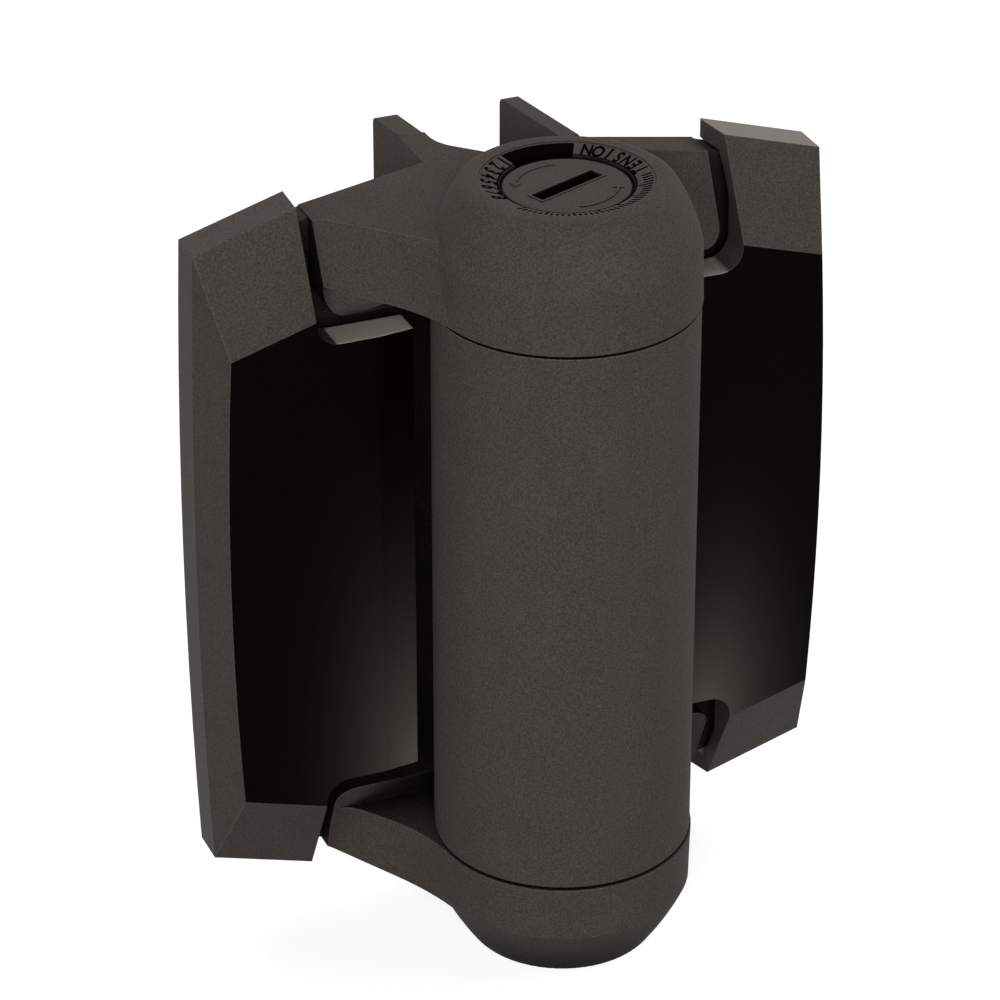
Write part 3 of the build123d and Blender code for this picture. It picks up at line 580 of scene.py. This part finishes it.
def make_window_shade_sheet():
    """Dark sheet of painted shade on the floor and the outer wall of the ring's window."""
    bm = bmesh.new()
    inner, outer, thin = ring_inner_radius, window_outer_radius, shade_sheet_thickness
    low, high = ring_high.z - window_depth, ring_high.z - thin
    section = [(inner, low), (outer, low), (outer, high), (outer - thin, high), (outer - thin, low + thin),
               (inner, low + thin)]
    add_sweep(bm, section, window_start, window_end)
    piece_from("window_painted_shade", bm, print_and_shade_material, "post_side")


def make_slot_rim():
    """Thin raised rim round the adjuster's slot."""
    bm = bmesh.new()
    add_slot_frame(bm, 0.0, slot_rim_width, disc_top - trim_sunk, disc_top + trim_proud)
    piece_from("slot_rim", bm, finish_of_slot["dial_plastic"], "adjuster")


def make_slot_shade_sheet():
    """Dark sheet of painted shade on the walls and the floor of the adjuster's slot."""
    bm = bmesh.new()
    gap, thin = slot_shade_gap, shade_sheet_thickness
    floor = disc_top - slot_depth + gap
    add_slot_frame(bm, -gap - thin, -gap, floor, disc_top - trim_sunk)
    size = (2 * (slot_half_length - gap - thin), 2 * (slot_half_width - gap - thin), thin)
    place = Matrix.Translation((pin.x, pin.y, floor + thin / 2)) @ Matrix.Rotation(slot_angle, 4, "Z")
    add_box(bm, size, place)
    piece_from("slot_painted_shade", bm, print_and_shade_material, "adjuster")


def make_disc_arrows():
    """Two thin curved arrows on the adjuster's disc, for turning."""
    bm = bmesh.new()
    for turn in (0.0, math.pi):
        add_arrow(bm, arrow_start + turn, arrow_end + turn, disc_top - trim_sunk, disc_top + trim_proud)
    piece_from("disc_arrows", bm, finish_of_slot["dial_plastic"], "adjuster")


def seen_directly_or_mirrored(tree):
    """One for camera, glossy and transmission rays, and nought for light on its way between surfaces."""
    path = tree.nodes.new("ShaderNodeLightPath")
    result = path.outputs["Is Camera Ray"]
    for kind in ("Is Glossy Ray", "Is Transmission Ray"):
        result = calculate(tree, "MAXIMUM", result, path.outputs[kind]).outputs["Value"]
    return result


def show_two_ways(tree, lighting, shown, output):
    """One shader for light between surfaces, and another for what is seen directly or mirrored."""
    mix = tree.nodes.new("ShaderNodeMixShader")
    tree.links.new(seen_directly_or_mirrored(tree), mix.inputs["Fac"])
    tree.links.new(lighting, mix.inputs[1])
    tree.links.new(shown, mix.inputs[2])
    tree.links.new(mix.outputs["Shader"], tree.nodes[output].inputs["Surface"])


def make_floor():
    """White floor under the hinge. It keeps the shadow and sends little light back up."""
    bm = bmesh.new()
    bmesh.ops.create_grid(bm, x_segments=floor_divisions, y_segments=floor_divisions, size=floor_half_size)
    mesh = bpy.data.meshes.new("floor")
    bm.to_mesh(mesh)
    bm.free()
    floor = bpy.data.objects.new("floor", mesh)
    floor.location = (pin.x, pin.y, floor_height)
    scene.collection.objects.link(floor)
    material, tree, shader = new_material("floor_paper")
    shader.inputs["Base Color"].default_value = (*floor_seen, 1.0)
    shader.inputs["Roughness"].default_value = floor_roughness
    shader.inputs["Specular IOR Level"].default_value = 0.0
    shader.inputs["Emission Color"].default_value = (*white, 1.0)
    shader.inputs["Emission Strength"].default_value = floor_glow
    bounce = add(tree, "ShaderNodeBsdfDiffuse", Color=(*floor_bounce, 1.0))
    show_two_ways(tree, bounce.outputs["BSDF"], shader.outputs["BSDF"], "Material Output")
    mesh.materials.append(material)


def make_world():
    """White studio surroundings, which give the hinge a little light from all round."""
    world = bpy.data.worlds.new("studio")
    world.use_nodes = True
    scene.world = world
    tree = world.node_tree
    background = tree.nodes["Background"]
    background.inputs["Color"].default_value = (*white, 1.0)
    background.inputs["Strength"].default_value = ambient_level
    shown = add(tree, "ShaderNodeBackground", Color=(*white, 1.0), Strength=1.0)
    show_two_ways(tree, background.outputs["Background"], shown.outputs["Background"], "World Output")


def make_light(name, azimuth, elevation, level):
    """A soft square lamp aimed at the hinge. Level 1 lights a facing surface as white paper."""
    data = bpy.data.lights.new(name, "AREA")
    data.shape = "SQUARE"
    data.size = lamp_size
    data.energy = math.pi ** 2 * lamp_distance ** 2 * level
    across = math.cos(elevation)
    towards = Vector((math.sin(azimuth) * across, -math.cos(azimuth) * across, math.sin(elevation)))
    lamp = bpy.data.objects.new(name, data)
    lamp.location = Vector((pin.x, pin.y, 0.0)) + towards * lamp_distance
    lamp.rotation_euler = (-towards).to_track_quat("-Z", "Y").to_euler()
    scene.collection.objects.link(lamp)


def make_camera():
    """Camera at the photograph's place and angle."""
    data = bpy.data.cameras.new("camera")
    data.lens = camera_lens
    data.sensor_width = camera_sensor
    camera = bpy.data.objects.new("camera", data)
    camera.location = camera_place
    camera.rotation_euler = (math.pi / 2 - camera_elevation, 0.0, camera_azimuth)
    scene.collection.objects.link(camera)
    scene.camera = camera


make_dial_marks()
# Sheet of painted shade in the ring's window
make_window_shade_sheet()
make_slot_rim()
# Sheet of painted shade in the adjuster's slot
make_slot_shade_sheet()
make_disc_arrows()
make_floor()
make_world()
for lamp_name, (azimuth, elevation, level) in lamps.items():
    make_light(lamp_name, math.radians(azimuth), math.radians(elevation), level)
make_camera()
scene.view_settings.view_transform = "Standard"
